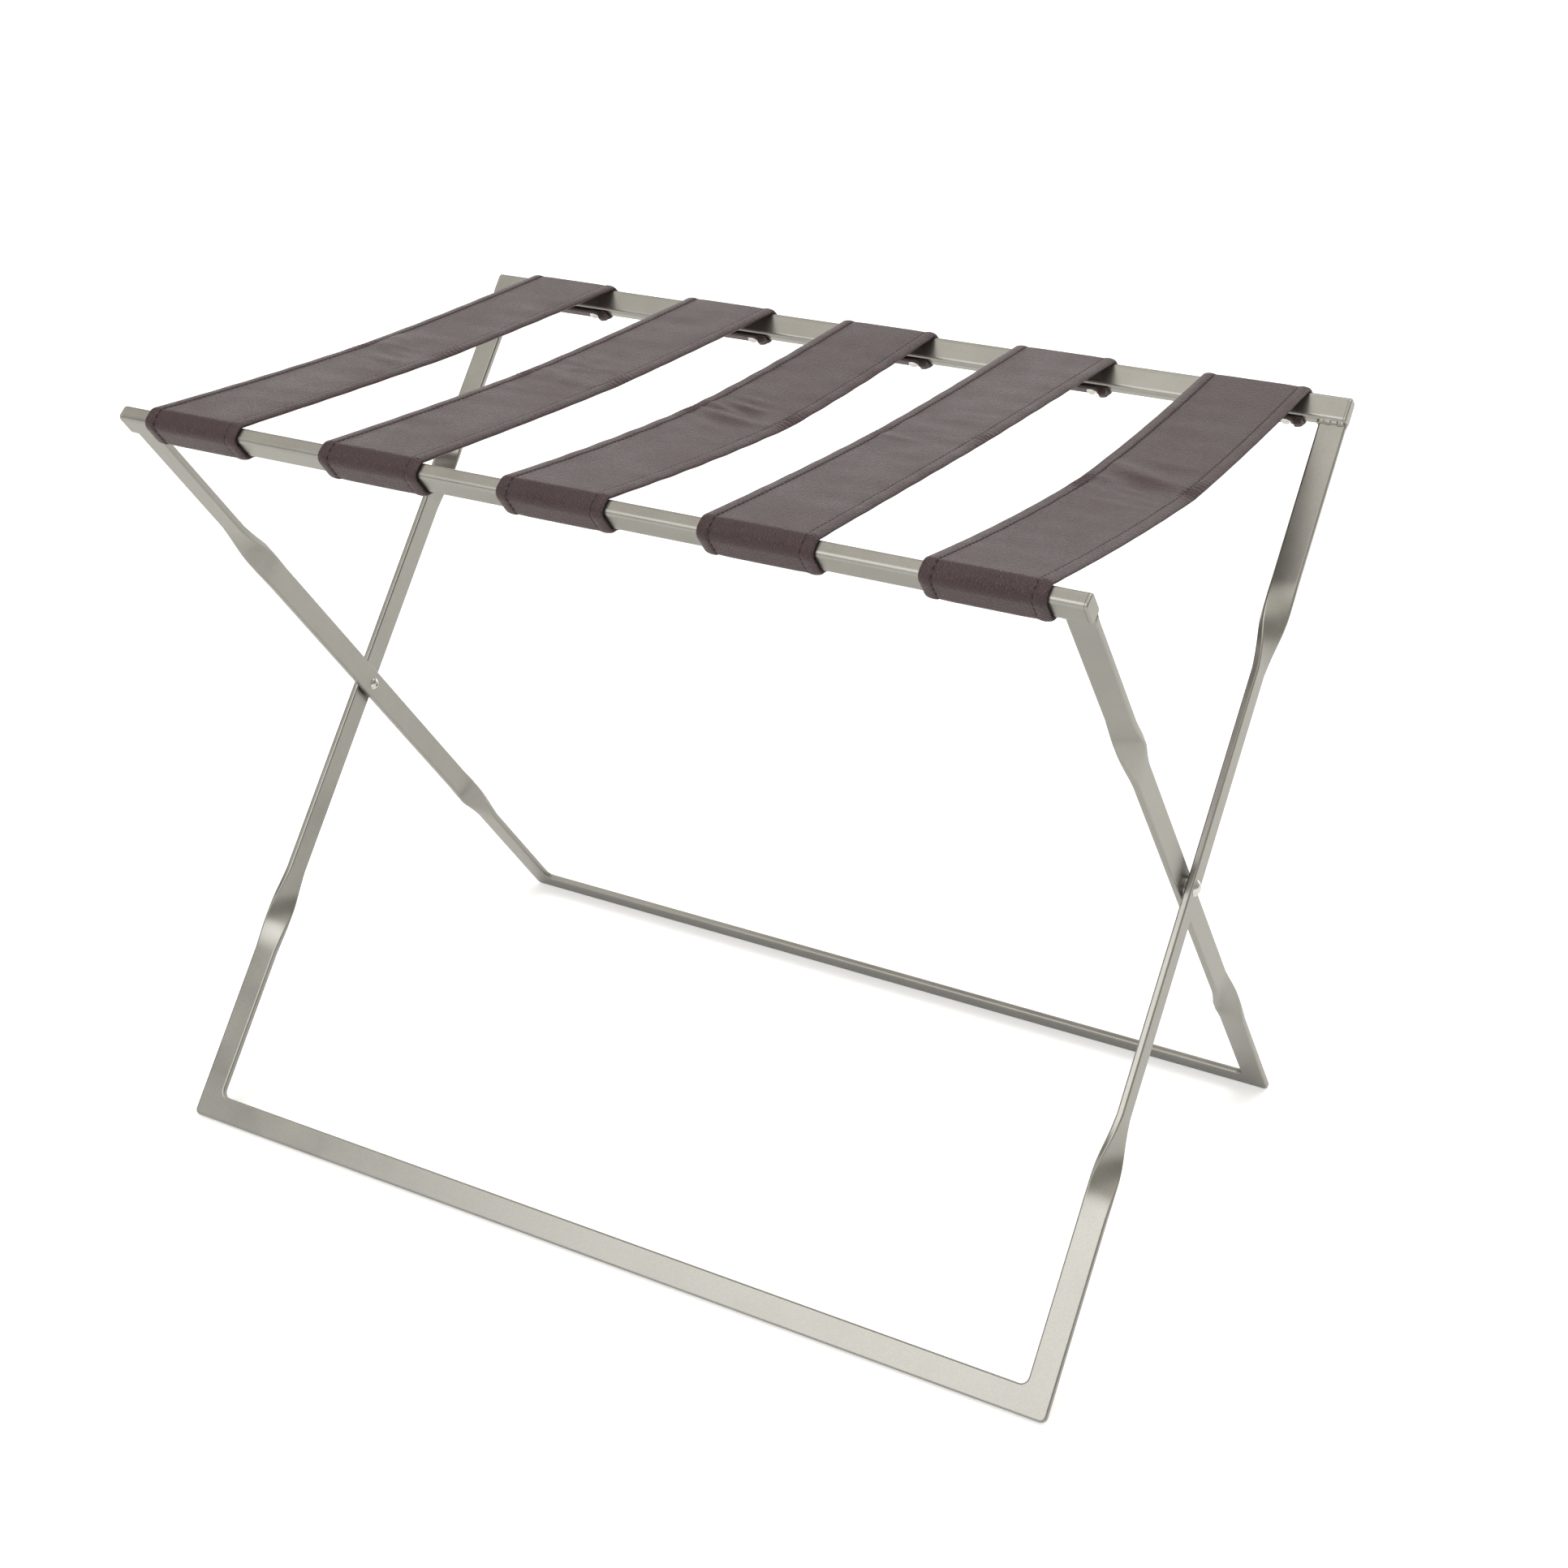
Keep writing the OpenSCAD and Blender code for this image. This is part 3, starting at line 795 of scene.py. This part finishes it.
def build_stitches(strap, name):
    """Single stitches in both seams on both faces, sunk at their ends."""
    sides = STITCH_SIDES
    starts = np.arange(2.5, strap.s[-1] - STITCH_LEN - 0.3, STITCH_PITCH)
    along, girth = STITCH_ALONG * STITCH_LEN, STITCH_GIRTH * STITCH_R
    verts, faces = [], []
    for x in (-SEAM_X, SEAM_X):
        for top in (True, False):
            s = starts[:, None] + along[None, :] + (0 if top else STITCH_PITCH / 2)
            s = np.minimum(s, strap.s[-1] - 0.2)
            xs = np.full_like(s, x)
            c = strap.at(xs, s, top) / MM
            out = (strap.at(xs, s, True) - strap.at(xs, s, False)) / MM
            out /= np.linalg.norm(out, axis=-1)[..., None]
            if not top:
                out = -out
            c = c + out * STITCH_LIFT[None, :, None]
            cross = np.array([1.0, 0, 0])
            for r in range(len(starts)):
                base = len(verts)
                for q in range(len(along)):
                    for a in range(sides):
                        t = 2 * math.pi * a / sides
                        d = cross * math.cos(t) + out[r, q] * STITCH_FLAT * math.sin(t)
                        verts.append((c[r, q] + girth[q] * d) * MM)
                for q in range(len(along) - 1):
                    for a in range(sides):
                        b = (a + 1) % sides
                        i0, i1 = base + q * sides, base + (q + 1) * sides
                        faces.append((i0 + a, i0 + b, i1 + b, i1 + a))
                faces.append(tuple(base + a for a in range(sides - 1, -1, -1)))
                faces.append(tuple(base + (len(along) - 1) * sides + a for a in range(sides)))
    return piece(name, verts, faces, THREAD, sharp=80)


for k in STRAPS:
    for side in (1, -1):
        build_strap(side, k)


# ---- floor, light and camera ----

FLOOR_HALF, FLOOR_DOWN = 14.0, 0.0002
# the floor's glow: from near the object to far from it as the camera sees it, the distances in
# metres between which it rises, and the part of it that lights the object
GLOW_NEAR, GLOW_FAR = 0.33, 0.62
GLOW_FROM, GLOW_TO = 1.0, 4.5
GLOW_ALL = 0.07


def build_floor():
    """White floor. As in the photograph, its background is whiter than its light on the object
    explains, so camera rays see a stronger glow, which grows away from the object."""
    h = FLOOR_HALF
    mesh = bpy.data.meshes.new("floor")
    mesh.from_pydata([(-h, -h, 0), (h, -h, 0), (h, h, 0), (-h, h, 0)], [], [(0, 1, 2, 3)])
    m, tree, bsdf = new_material("floor_white")
    far = add(tree, "ShaderNodeVectorMath", operation="LENGTH")
    tree.links.new(add(tree, "ShaderNodeTexCoord").outputs["Object"], far.inputs[0])
    glow = add(tree, "ShaderNodeMapRange", interpolation_type="SMOOTHSTEP",
               From_Min=GLOW_FROM, From_Max=GLOW_TO, To_Min=GLOW_NEAR, To_Max=GLOW_FAR)
    tree.links.new(far.outputs["Value"], glow.inputs["Value"])
    seen = add(tree, "ShaderNodeMath", operation="MULTIPLY_ADD")
    seen.inputs[2].default_value = GLOW_ALL
    tree.links.new(add(tree, "ShaderNodeLightPath").outputs["Is Camera Ray"], seen.inputs[0])
    tree.links.new(glow.outputs["Result"], seen.inputs[1])
    tree.links.new(seen.outputs["Value"], bsdf.inputs["Emission Strength"])
    bsdf.inputs["Base Color"].default_value = (0.96, 0.96, 0.96, 1)
    bsdf.inputs["Emission Color"].default_value = (0.97, 0.98, 1.0, 1)
    bsdf.inputs["Roughness"].default_value = 0.85
    bsdf.inputs["Specular IOR Level"].default_value = 0.1
    mesh.materials.append(m)
    floor = bpy.data.objects.new("floor", mesh)
    floor.location.z = -FLOOR_DOWN
    bpy.context.scene.collection.objects.link(floor)


WORLD_TINT = np.array([1.0, 0.965, 0.88])
# brightness by height of the direction, 0 straight down, 0.5 level and 1 straight up
WORLD_LIGHT = ((0.0, 0.5), (0.5, 0.38), (0.78, 0.42), (0.84, 0.88), (1.0, 0.95))


def build_world():
    """Warm surroundings, dim near the horizon and bright from about 40 degrees up."""
    world = bpy.data.worlds.new("studio")
    bpy.context.scene.world = world
    world.use_nodes = True
    tree = world.node_tree
    at = add(tree, "ShaderNodeTexCoord").outputs["Generated"]
    split = add_at(tree, "ShaderNodeSeparateXYZ", at)
    height = add(tree, "ShaderNodeMapRange", From_Min=-1.0)
    tree.links.new(split.outputs["Z"], height.inputs["Value"])
    stops = [(p, tuple(WORLD_TINT * v)) for p, v in WORLD_LIGHT]
    light = ramp(tree, height.outputs["Result"], stops)
    back = tree.nodes["Background"]
    tree.links.new(light, back.inputs["Color"])
    back.inputs["Strength"].default_value = 1.0


def area_light(name, at, target, size, power, height=0.0):
    """A disk, or a rectangle where it has a height, that faces its target."""
    light = bpy.data.lights.new(name, "AREA")
    light.shape, light.size, light.energy = "RECTANGLE" if height else "DISK", size, power
    if height:
        light.size_y = height
    obj = bpy.data.objects.new(name, light)
    obj.visible_camera = False
    obj.location = at
    obj.rotation_mode = "QUATERNION"
    obj.rotation_quaternion = (Vector(at) - Vector(target)).to_track_quat("Z", "Y")
    bpy.context.scene.collection.objects.link(obj)


# the camera, fitted to the photograph's view: angles in degrees, target and distance in metres
AZIMUTH, ELEVATION, ROLL = 29.4728, 25.4248, 0.3105
TARGET, DISTANCE = (0.03195, -0.00002, 0.25431), 1.5185
SENSOR, LENS = 36.0, 53.873


def build_camera():
    az, el, roll = (math.radians(a) for a in (AZIMUTH, ELEVATION, ROLL))
    back = Vector((math.sin(az) * math.cos(el), -math.cos(az) * math.cos(el), math.sin(el)))
    right = Vector((math.cos(az), math.sin(az), 0))
    up = back.cross(right)
    r = right * math.cos(roll) + up * math.sin(roll)
    u = up * math.cos(roll) - right * math.sin(roll)
    camera = bpy.data.cameras.new("camera")
    camera.sensor_width, camera.lens = SENSOR, LENS
    obj = bpy.data.objects.new("camera", camera)
    turn = Matrix((r, u, back)).transposed().to_4x4()
    obj.matrix_world = Matrix.Translation(Vector(TARGET) + back * DISTANCE) @ turn
    bpy.context.scene.collection.objects.link(obj)
    bpy.context.scene.camera = obj


build_floor()
build_world()
area_light("key", (-0.8, -2.7, 2.2), (0, 0, 0.3), 2.8, 31)
area_light("top", (0.8, 0.7, 3.4), (0, 0, 0.3), 2.8, 24)
area_light("backdrop", (-0.3, 3.2, 0.95), (0, 0, 0.5), 6.8, 31, height=1.25)
build_camera()
bpy.context.scene.view_settings.view_transform = "Standard"
